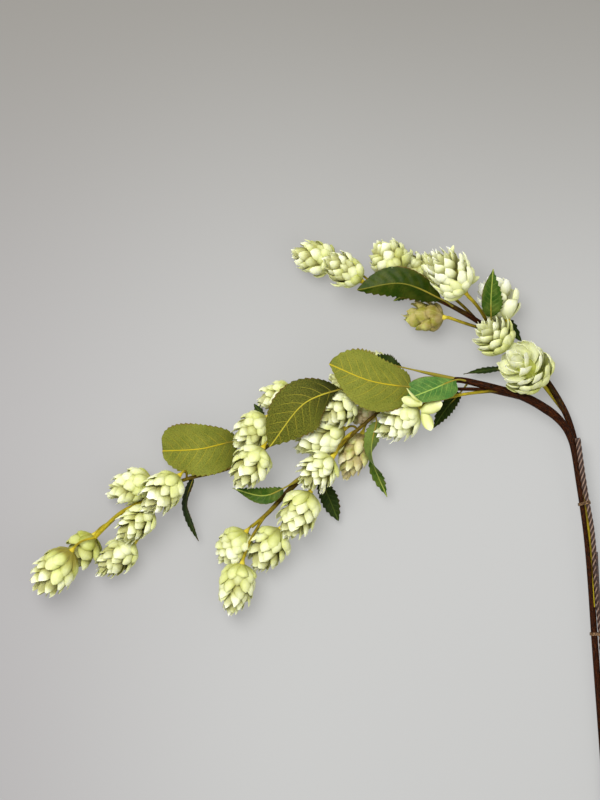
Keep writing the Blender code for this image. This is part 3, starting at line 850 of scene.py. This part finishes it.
def spiralSeat(i, cone, draw):  # how bract i sits, counted from the foot, which is at the origin
    u = (i + 0.5) / cone["count"]
    long, wide, opened = cone["long"], cone["wide"], cone["open"]
    firstTip, lastTip = coneLook["tips"]
    tipSpread, turnSpread = coneLook["tipSpread"], coneLook["turnSpread"]
    tipShare = blend(firstTip, lastTip, u ** coneLook["crowding"]) + draw.uniform(-tipSpread, tipSpread)
    tipShare = min(tipShare, lastTip)
    footShare = max(tipShare - blend(*bractLook["long"], u), 0.0)
    tipR = wide * mixAlong(coneLook["profile"], tipShare) * (1 + opened * coneLook["openOut"])
    tipR *= draw.uniform(*bractSpread["out"])
    if draw.random() < coneLook["strays"]:
        tipR *= coneLook["strayOut"]
    if u > coneLook["closing"]:
        tipR *= blend(1.0, coneLook["closed"], (u - coneLook["closing"]) / (1 - coneLook["closing"]))
    half = wide * blend(*bractLook["wide"], u) * draw.uniform(*bractSpread["wide"]) * cone["broad"]
    angle = cone["first"] + math.radians(i * coneLook["turn"]) + draw.uniform(-turnSpread, turnSpread)
    out = Vector((math.cos(angle), math.sin(angle), 0))
    footR, footZ = wide * bractLook["foot"], footShare * long
    tipR, tipZ = tipR - bractLook["inside"][0], tipShare * long - bractLook["inside"][1]
    belly = blend(*bractLook["belly"], opened) * draw.uniform(*bractSpread["belly"])
    cup = half * blend(*bractLook["cup"], u) * draw.uniform(*bractSpread["cup"])
    lean = draw.uniform(-bractLook["lean"], bractLook["lean"]) * (0.4 + u)
    curl = blend(*bractLook["curl"], u) * draw.uniform(*bractSpread["curl"])
    return {
        "foot": out * footR + up * footZ,
        "shoulder": out * blend(footR, tipR, belly) + up * blend(footZ, tipZ, bractLook["shoulder"]),
        "tip": out * tipR + up * tipZ,
        "side": up.cross(out),
        "half": half,
        "cup": cup,
        "lean": lean,
        "curl": curl + opened * bractLook["openCurl"],
        "point": draw.uniform(*bractSpread["point"]) + blend(*bractLook["point"], u * u),
        "rag": blend(*bractLook["rag"], u * u),
        "ruffle": blend(*bractLook["ruffle"], u * u),
        "row": u,
        "tone": cone["tone"] + draw.uniform(*bractSpread["tone"]),
        "blush": cone["blush"],
    }


def looseSeat(start, end, half, roll, face, cone, draw):  # how a loose bract sits; face is the way up for it
    side = (end - start).cross(face).normalized()
    side.rotate(Quaternion(end - start, math.radians(roll)))
    return {
        **looseLook,
        "foot": start,
        "shoulder": (start + end) / 2 + face * half * looseBulge,
        "tip": end,
        "side": side,
        "half": half,
        "cup": half * looseCup,
        "lean": draw.uniform(-1, 1),
        "tone": cone["tone"] + looseTone,
        "blush": cone["blush"],
    }


def growCone(name, sets):
    foot, tip, wide = coneFrames[name]
    long, wide = (tip - foot).length / mm, wide / mm
    draw = random.Random(name)
    usual = coneLook["count"] + draw.randint(-coneLook["countSpread"], coneLook["countSpread"])
    cone = {
        "long": long,
        "wide": wide,
        "count": sets.get("count", usual),
        "first": math.radians(draw.uniform(0, 360)),
        "open": sets.get("open", coneLook["open"]),
        "broad": sets.get("broad", 1),
        "tone": 0.5 + sets.get("pale", 0),
        "blush": sets.get("blush", 0),
    }
    shape = newShape()
    template = bractTemplate(shape)
    for i in range(cone["count"]):
        shapeBract(shape, template, spiralSeat(i, cone, draw), draw)
    axis = (tip - foot).normalized()  # the angle of a bract is 0 where the cone faces up
    front = (up - axis * up.dot(axis)).normalized()
    turn = Matrix((front, axis.cross(front), axis)).transposed().to_4x4()
    back = turn.inverted()
    for start, end, half, roll in sets.get("loose", ()):
        start, end = (back @ (place(*p) - foot) / mm for p in (start, end))
        seat = looseSeat(start, end, half, roll, back.to_3x3() @ up, cone, draw)
        shapeBract(shape, template, seat, draw)
    flat = [e for e in template if isinstance(e, bmesh.types.BMVert)]
    bmesh.ops.delete(shape, geom=flat, context="VERTS")
    if shape.calc_volume(signed=True) < 0:
        bmesh.ops.reverse_faces(shape, faces=shape.faces)
    fillCone(shape, cone)
    shadeCone(shape, cone, sets.get("shade", 1))
    bmesh.ops.transform(shape, matrix=Matrix.Translation(foot) @ turn, verts=shape.verts)
    finishPiece(pieceName(name), shape, "bract", [name])


def fillCone(shape, cone):  # a ball that closes the gaps between the bracts' feet
    spot, tone, _ = layersOf(shape)
    radius, halfLong, middle = coneLook["core"]
    spread = cone["wide"] * radius * mm
    core = bmesh.ops.create_uvsphere(shape, u_segments=10, v_segments=8, radius=1)["verts"]
    for vert in core:
        ahead = (vert.co.z * halfLong + middle) * cone["long"] * mm
        vert.co = Vector((vert.co.x * spread, vert.co.y * spread, ahead))
        vert[spot] = (0, 0, 0.1)
        # a low tone: the ball is painted dark, as shade in the gaps between the bracts
        vert[tone] = 0.2


def shadeCone(shape, cone, shade):  # how far a vertex is under the cone's round outside, from 0 to its middle, which the bract material paints as shade
    deep = shape.verts.layers.float.new("deep")
    middle, halfLong = coneLook["heart"]
    for vert in shape.verts:
        out = vert.co.xy.length / (cone["wide"] * mm)
        ahead = (vert.co.z / (cone["long"] * mm) - middle) / halfLong
        vert[deep] = max(1 - math.hypot(out, ahead), 0.0) * shade


for name, sets in coneSets.items():
    growCone(name, sets)

print("leaves")

leafSets = {
    # fork and branch: as for the cones; ends: base, middle and tip of the blade, pixel and height in mm
    # back: True if its back shows; width and stalk: in mm; roll, twist and fold: in degrees
    # widest: where its left and its right half are widest, as a share of its length
    # full: how pointed it is at its base and at its tip, for its left and its right half
    # teeth: how many it has along a side; tooth: how deep they are in mm, at its left and at its right
    "leaf_upper_01": {
        "fork": (454, 307), "paint": "glossy", "ends": ((441, 299, 39), (402, 283.5, 44), (357, 290, 42)),
        "width": 32, "widest": (0.45, 0.55), "full": ((0.75, 0.8), (0.65, 0.8)), "roll": -14, "fold": -24,
        "teeth": 14, "tooth": (2.0, 0.5),
    },
    "leaf_upper_02": {
        "fork": (432, 298), "paint": "fresh", "ends": ((420, 292, 20), (407, 294, 17), (393.5, 301, 12)),
        "width": 9, "widest": (0.5, 0.5), "fold": 8, "teeth": 8,
    },
    "leaf_upper_03": {
        "fork": (491, 330), "paint": "fresh", "ends": ((491, 317, 44), (491, 297, 52), (493, 269, 50)),
        "width": 23, "widest": (0.45, 0.4), "full": ((0.7, 1.15), (0.7, 1.15)), "roll": 12, "twist": 10,
        "fold": 14, "teeth": 11, "tooth": (0.3, 1.8),
    },
    "leaf_upper_04": {
        "fork": (488, 328), "paint": "dark", "ends": ((498, 320, 13), (507.5, 325, 11), (521.3, 341, 7)),
        "width": 14, "widest": (0.5, 0.5), "roll": 10, "fold": 5, "teeth": 7,
    },
    "leaf_upper_05": {
        "fork": (520, 353), "paint": "dark",
        "ends": ((508, 367.4, 9), (490, 369.8, 11), (463.5, 374.2, 12)), "width": 13, "widest": (0.4, 0.4),
        "full": ((0.6, 1.0), (0.6, 1.0)), "roll": 63, "fold": 5, "teeth": 9,
    },
    "leaf_middle_01": {
        "branch": "main_stem", "fork": (414, 385), "paint": "olive", "back": True,
        "ends": ((412, 387, 45), (371, 381, 64), (329, 364, 64)), "width": 57, "widest": (0.42, 0.64),
        "full": ((0.6, 1.0), (0.2, 0.6)), "roll": 8, "fold": -7, "teeth": 20, "tooth": (1.0, 2.0),
    },
    "leaf_middle_02": {
        "branch": "main_stem", "fork": (470, 382), "paint": "bluish",
        "ends": ((455.5, 380, 42), (433, 389, 47), (406, 399.5, 48)), "width": 31, "widest": (0.3, 0.7),
        "full": ((0.6, 0.6), (0.6, 0.3)), "roll": 14, "fold": 8, "teeth": 10, "tooth": (0.1, 0.1),
    },
    "leaf_middle_03": {
        "branch": "main_stem", "fork": (470, 382), "paint": "dark",
        "ends": ((460, 393, 19), (446, 409, 14), (433.5, 428, 12)), "width": 15,
        "full": ((0.4, 0.9), (0.4, 0.9)), "roll": 20, "fold": 8, "teeth": 10,
    },
    "leaf_middle_04": {
        "branch": "main_stem", "fork": (458, 379.5), "paint": "dark",
        "ends": ((401.5, 367.1, 44), (386, 363.2, 46), (366, 358.5, 46)), "width": 18,
        "full": ((0.7, 0.8), (0.7, 0.8)), "fold": 8, "teeth": 13, "stalk": 2.4,
    },
    "leaf_left_01": {
        "fork": (342, 390), "paint": "netted", "back": True,
        "ends": ((341, 389, 55), (303, 404.5, 61), (269.7, 447, 54)), "width": 54, "widest": (0.57, 0.58),
        "full": ((1.45, 1.15), (0.7, 0.7)), "roll": 6, "fold": -15, "teeth": 19, "tooth": (2.0, 1.2),
        "stalk": 2.8,
    },
    "leaf_left_02": {
        "fork": (262, 450), "paint": "dark", "ends": ((262, 426, 10), (260, 413, 8), (254, 404, 5)),
        "width": 8, "widest": (0.5, 0.5), "full": ((0.7, 0.8), (0.7, 0.8)), "fold": 5, "teeth": 6,
    },
    "leaf_left_03": {
        "fork": (259, 452), "paint": "olive", "back": True,
        "ends": ((238, 441.5, 15), (200, 448.9, 37), (162.5, 451, 17)), "width": 54.5,
        "widest": (0.42, 0.66), "full": ((0.28, 0.45), (0.38, 0.32)), "roll": -6, "fold": 6, "teeth": 17,
        "tooth": (1.6, 1.2),
    },
    "leaf_left_04": {
        "fork": (188, 478), "paint": "dark", "ends": ((193, 479, 25), (186, 507, 14), (198.7, 541, 13)),
        "width": 20, "roll": 68, "fold": 8, "teeth": 14, "stalk": 1.8,
    },
    "leaf_lower_01": {
        "fork": (374, 416), "paint": "fresh",
        "ends": ((376.5, 421.5, 36), (371.5, 455.5, 34), (387, 497, 15)), "width": 21,
        "widest": (0.46, 0.46), "full": ((0.5, 1.1), (0.5, 1.1)), "roll": 320, "twist": -330, "fold": 10,
        "teeth": 15, "tooth": (1.8, 1.8),
    },
    "leaf_lower_02": {
        "fork": (305, 475), "paint": "fresh",
        "ends": ((283, 488.5, 38), (262, 495.7, 35), (232.5, 488.3, 26)), "width": 17,
        "widest": (0.38, 0.45), "full": ((0.7, 1.2), (0.8, 1.2)), "roll": -6, "fold": 20, "teeth": 11,
        "tooth": (0.4, 1.8), "stalk": 2.7,
    },
    "leaf_lower_03": {
        "fork": (316, 470), "paint": "dark", "ends": ((320.5, 480, 15), (329, 498, 11), (338.5, 521, 10)),
        "width": 18, "widest": (0.5, 0.5), "full": ((0.4, 0.85), (0.4, 0.85)), "roll": 12, "fold": 6,
        "teeth": 9,
    },
}
bladeLook = {
    "acrossCells": 16,
    "toothRows": 4,  # rows of the grid for each tooth
    "spanSteps": 12,
    "thick": 0.45,
    "least": 0.4,  # mm, half its width at its ends
    "veins": 8,  # side veins in this share of its length
    "veinsReach": 0.9,
    "pucker": 0.3,  # mm that it swells between side veins
    "wave": 0.7,  # mm that its edge waves, and how often
    "waves": 9,
    "toothEdge": 0.7,  # the share of half its width where its teeth start
    "toothFull": 5,  # mm, from this half width on its teeth are full size
    "midrib": (0.85, 0.8, 0.8, 0.6, 0.45, 0.35, 0.25),  # mm, the tube's radius after the stalk
    # what a leaf has unless its set says otherwise
    "widest": (0.45, 0.45),
    "full": ((0.7, 0.9), (0.7, 0.9)),
    "tooth": (1.7, 1.7),
    "stalk": 1.3,
    "roll": 0,
    "twist": 0,
    "back": False,
}


def halfWidth(leaf, share, right):
    rounded = math.sin(math.pi * share ** (math.log(0.5) / math.log(leaf["widest"][right])))
    atBase, atTip = leaf["full"][right]
    return leaf["width"] / 2 * max(rounded, 0.0) ** blend(atBase, atTip, share)


def growLeaf(name, sets):
    leaf = {**bladeLook, **sets}
    draw = random.Random(name)
    shape = newShape()
    spot, tone, rim = layersOf(shape)
    start, _ = forkAt(sets)
    spanSteps, toothRows = leaf["spanSteps"], leaf["toothRows"]
    spine = smoothRoute([start, *(place(*p) for p in leaf["ends"])], spanSteps)
    toothEdge = leaf["toothEdge"]
    beside = 0.03  # how far to both sides its direction is read
    rows = leaf["teeth"] * toothRows
    bmesh.ops.create_grid(shape, x_segments=leaf["acrossCells"], y_segments=rows, size=1)
    bmesh.ops.solidify(shape, geom=shape.faces[:], thickness=1)
    lowest = min(v.co.z for v in shape.verts)
    long = sum((b - a).length for a, b in zip(spine[spanSteps:], spine[spanSteps + 1 :])) / mm
    spacing = long * leaf["veinsReach"] / leaf["veins"]
    phase = draw.uniform(0, math.tau)
    for vert in shape.verts:
        x, layer = vert.co.x, vert.co.z - lowest
        share = (vert.co.y + 1) / 2
        row = round(share * rows)
        right = int(x > 0)
        half = max(halfWidth(leaf, share, right), leaf["least"])
        depth = leaf["tooth"][right] * min(half / leaf["toothFull"], 1)
        depth *= max((abs(x) - toothEdge) / (1 - toothEdge), 0)
        half += depth * ((row % toothRows) / (toothRows - 1) - 0.5)
        where = (1 + 2 * share) / 3  # the blade is the last two of the spine's three spans
        here = mixAlong(spine, where)
        ahead = (mixAlong(spine, where + beside) - mixAlong(spine, where - beside)).normalized()
        side = ahead.cross(up).normalized()
        side.rotate(Quaternion(ahead, math.radians(leaf["roll"] + leaf["twist"] * where)))
        lift = side.cross(ahead).normalized()
        xmm, ymm = x * half, share * long
        veins = (ymm - veinLook["rise"] * abs(xmm) - veinLook["bend"] * xmm * xmm) / spacing
        rise = abs(xmm) * math.sin(math.radians(leaf["fold"]))
        rise += leaf["pucker"] * math.cos(math.tau * veins) * min(abs(xmm) / 4, 1) * (1 - x**4)
        rise += leaf["wave"] * math.sin(share * leaf["waves"] + phase + 2 * right) * x * x
        vert.co = here + (side * xmm + lift * (rise + (layer - 0.5) * leaf["thick"])) * mm
        vert[spot] = (xmm, ymm, spacing)
        vert[tone] = 1 - layer if leaf["back"] else layer
        vert[rim] = max(abs(x), share**6)
    if shape.calc_volume(signed=True) < 0:
        bmesh.ops.reverse_faces(shape, faces=shape.faces)
    shown = 0.0 if leaf["back"] else 1.0
    radii = [leaf["stalk"], leaf["stalk"] * 0.8, *leaf["midrib"]]
    growTube(shape, spine, radii, [2, 2, 2, shown, shown, shown], 8, midrib=True)
    finishPiece(pieceName(name), shape, leaf["paint"], [name])


addBranches(leafSets)
for name, sets in leafSets.items():
    growLeaf(name, sets)

print("rods and ties")

rodSets = {
    "twisted_rod": {
        "route": [
            (577.7, 438, 25), (581.7, 468, 24.5), (586.5, 500, 23.2), (591, 525, 21.8), (593.4, 547, 20.5),
            (596.5, 583, 18.2), (601.5, 640, 14.5), (606, 700, 11.5),
        ],
        "radius": 2.7,
        "twist": {"ribs": 4, "pitch": 27, "deep": 0.2},
        "steps": 36,
        "sides": 18,
        "finish": "rod",
    },
    "plain_rod": {
        "route": [
            (596.6, 552, 23.5), (598.2, 583, 21.6), (600.8, 613, 19.5), (604.5, 645, 17.6), (609, 690, 15),
        ],
        "radius": 1.3,
        "twist": None,
        "steps": 8,
        "sides": 10,
        "finish": "plainRod",
    },
}
tieSets = {"wire_tie_upper": (582, 504), "wire_tie_lower": (594.5, 640)}  # the pixels where they are
tieLook = {
    "radius": 0.5,
    "turns": 3,
    "step": 1.05,  # mm along the stem for each turn
    "points": 24,  # for each turn
    "sides": 6,
    "stem": 3.6,  # mm, the radius of what it goes round
    "gap": 0.2,
    "rodSteps": 20,
}


def rodRoute(name, steps):
    return smoothRoute([place(*p) for p in rodSets[name]["route"]], steps)


for name, sets in rodSets.items():
    shape = newShape()
    radii = [sets["radius"], sets["radius"]]
    growTube(shape, rodRoute(name, sets["steps"]), radii, [0, 0], sets["sides"], sets["twist"])
    finishPiece(pieceName(name), shape, sets["finish"], [name])


def tieRoute(pixel):  # a wire wound a few times round the stem and the twisted rod
    stem, share = forkAt({"branch": "main_stem", "fork": pixel})
    route = routes["main_stem"]
    at = round(share * (len(route) - 1))
    ahead = (route[at + 1] - route[at - 1]).normalized()
    rod = min(rodRoute("twisted_rod", tieLook["rodSteps"]), key=lambda p: abs((p - stem).dot(ahead)))
    across = (rod - stem).normalized()
    held = ((stem, tieLook["stem"]), (rod, rodSets["twisted_rod"]["radius"]))
    points = []
    for step in range(tieLook["points"] * tieLook["turns"] + 1):
        turns = step / tieLook["points"]
        out = across * math.cos(math.tau * turns) + ahead.cross(across) * math.sin(math.tau * turns)
        middle, radius = max(held, key=lambda item: item[0].dot(out) + item[1] * mm)
        slide = ahead * (turns - tieLook["turns"] / 2) * tieLook["step"]
        points.append(middle + (out * (radius + tieLook["radius"] + tieLook["gap"]) + slide) * mm)
    return points


for name, pixel in tieSets.items():
    shape = newShape()
    growTube(shape, tieRoute(pixel), [tieLook["radius"]] * 2, [0, 0], tieLook["sides"])
    finishPiece(pieceName(name), shape, "wire", [name])

print("table, light and camera")

studio = {
    "floor": tint("797978"),
    "far": tint("585652"),  # the table's colour past the top of the picture, darker as painted shade
    "edge": tint("6a6868"),  # and at its left, also darker as painted shade
    "farFrom": (0.08, 0.72),  # metres, where those colours start and are full
    "edgeFrom": (0.02, -0.5),
    "half": 4,  # half the table's side in metres
    "glow": 1.6,  # the table glows with its own colour, painted light that makes the shadows on it faint
    "world": 0.66,
    "lamps": (  # place, size in metres and watts
        ((-0.6, 0.95, 2.4), 1.6, 74),
        ((1.6, -0.6, 2.0), 1.6, 6),
    ),
    "film": 36.0,  # mm
}


def makeFloor():
    shape = bmesh.new()
    bmesh.ops.create_grid(shape, x_segments=1, y_segments=1, size=studio["half"])
    mesh = bpy.data.meshes.new("table")
    shape.to_mesh(mesh)
    shape.free()
    constants = {"Roughness": 0.9, "Specular IOR Level": 0.1, "Emission Strength": studio["glow"]}
    made, paint, feed = newMaterial("tablePaint", constants)
    where = paint.where()
    cloudy = (where.noise(1.2, 2) - 0.5) * 0.1
    across, depth, _ = where.parts()
    edgeStart, edgeFull = studio["edgeFrom"]
    # painted shade: the table is darker towards its left and towards the top of the picture
    colour = (across + cloudy).fade(edgeFull, edgeStart).mix(studio["edge"], studio["floor"])
    colour = (depth + cloudy).fade(*studio["farFrom"]).mix(colour, studio["far"])
    feed("Base Color", colour)
    # painted light: the table glows in its own colour
    feed("Emission Color", colour)
    mesh.materials.append(made)
    floor = bpy.data.objects.new("table", mesh)
    bpy.context.scene.collection.objects.link(floor)


def makeLamp(i, spot, size, watts):
    light = bpy.data.lights.new(f"lamp{i}", "AREA")
    light.shape = "DISK"
    light.size = size
    light.energy = watts
    lamp = bpy.data.objects.new(light.name, light)
    lamp.location = spot
    lamp.rotation_mode = "QUATERNION"
    lamp.rotation_quaternion = (-Vector(spot)).to_track_quat("-Z", "Y")
    bpy.context.scene.collection.objects.link(lamp)


def makeCamera():
    lens = bpy.data.cameras.new("camera")
    lens.sensor_width = studio["film"]
    lens.lens = studio["film"] * (photo["eye"] - photo["level"]) / photo["high"]
    lens.clip_end = 20
    camera = bpy.data.objects.new("camera", lens)
    camera.location = place(*photo["middle"], photo["eye"])
    bpy.context.scene.collection.objects.link(camera)
    bpy.context.scene.camera = camera


makeFloor()
for i, lamp in enumerate(studio["lamps"]):
    makeLamp(i, *lamp)
makeCamera()
world = bpy.data.worlds.new("studio")
world.use_nodes = True
background = world.node_tree.nodes["Background"]
background.inputs["Color"].default_value = (1, 1, 1, 1)
background.inputs["Strength"].default_value = studio["world"]
bpy.context.scene.world = world
bpy.context.scene.view_settings.view_transform = "Standard"
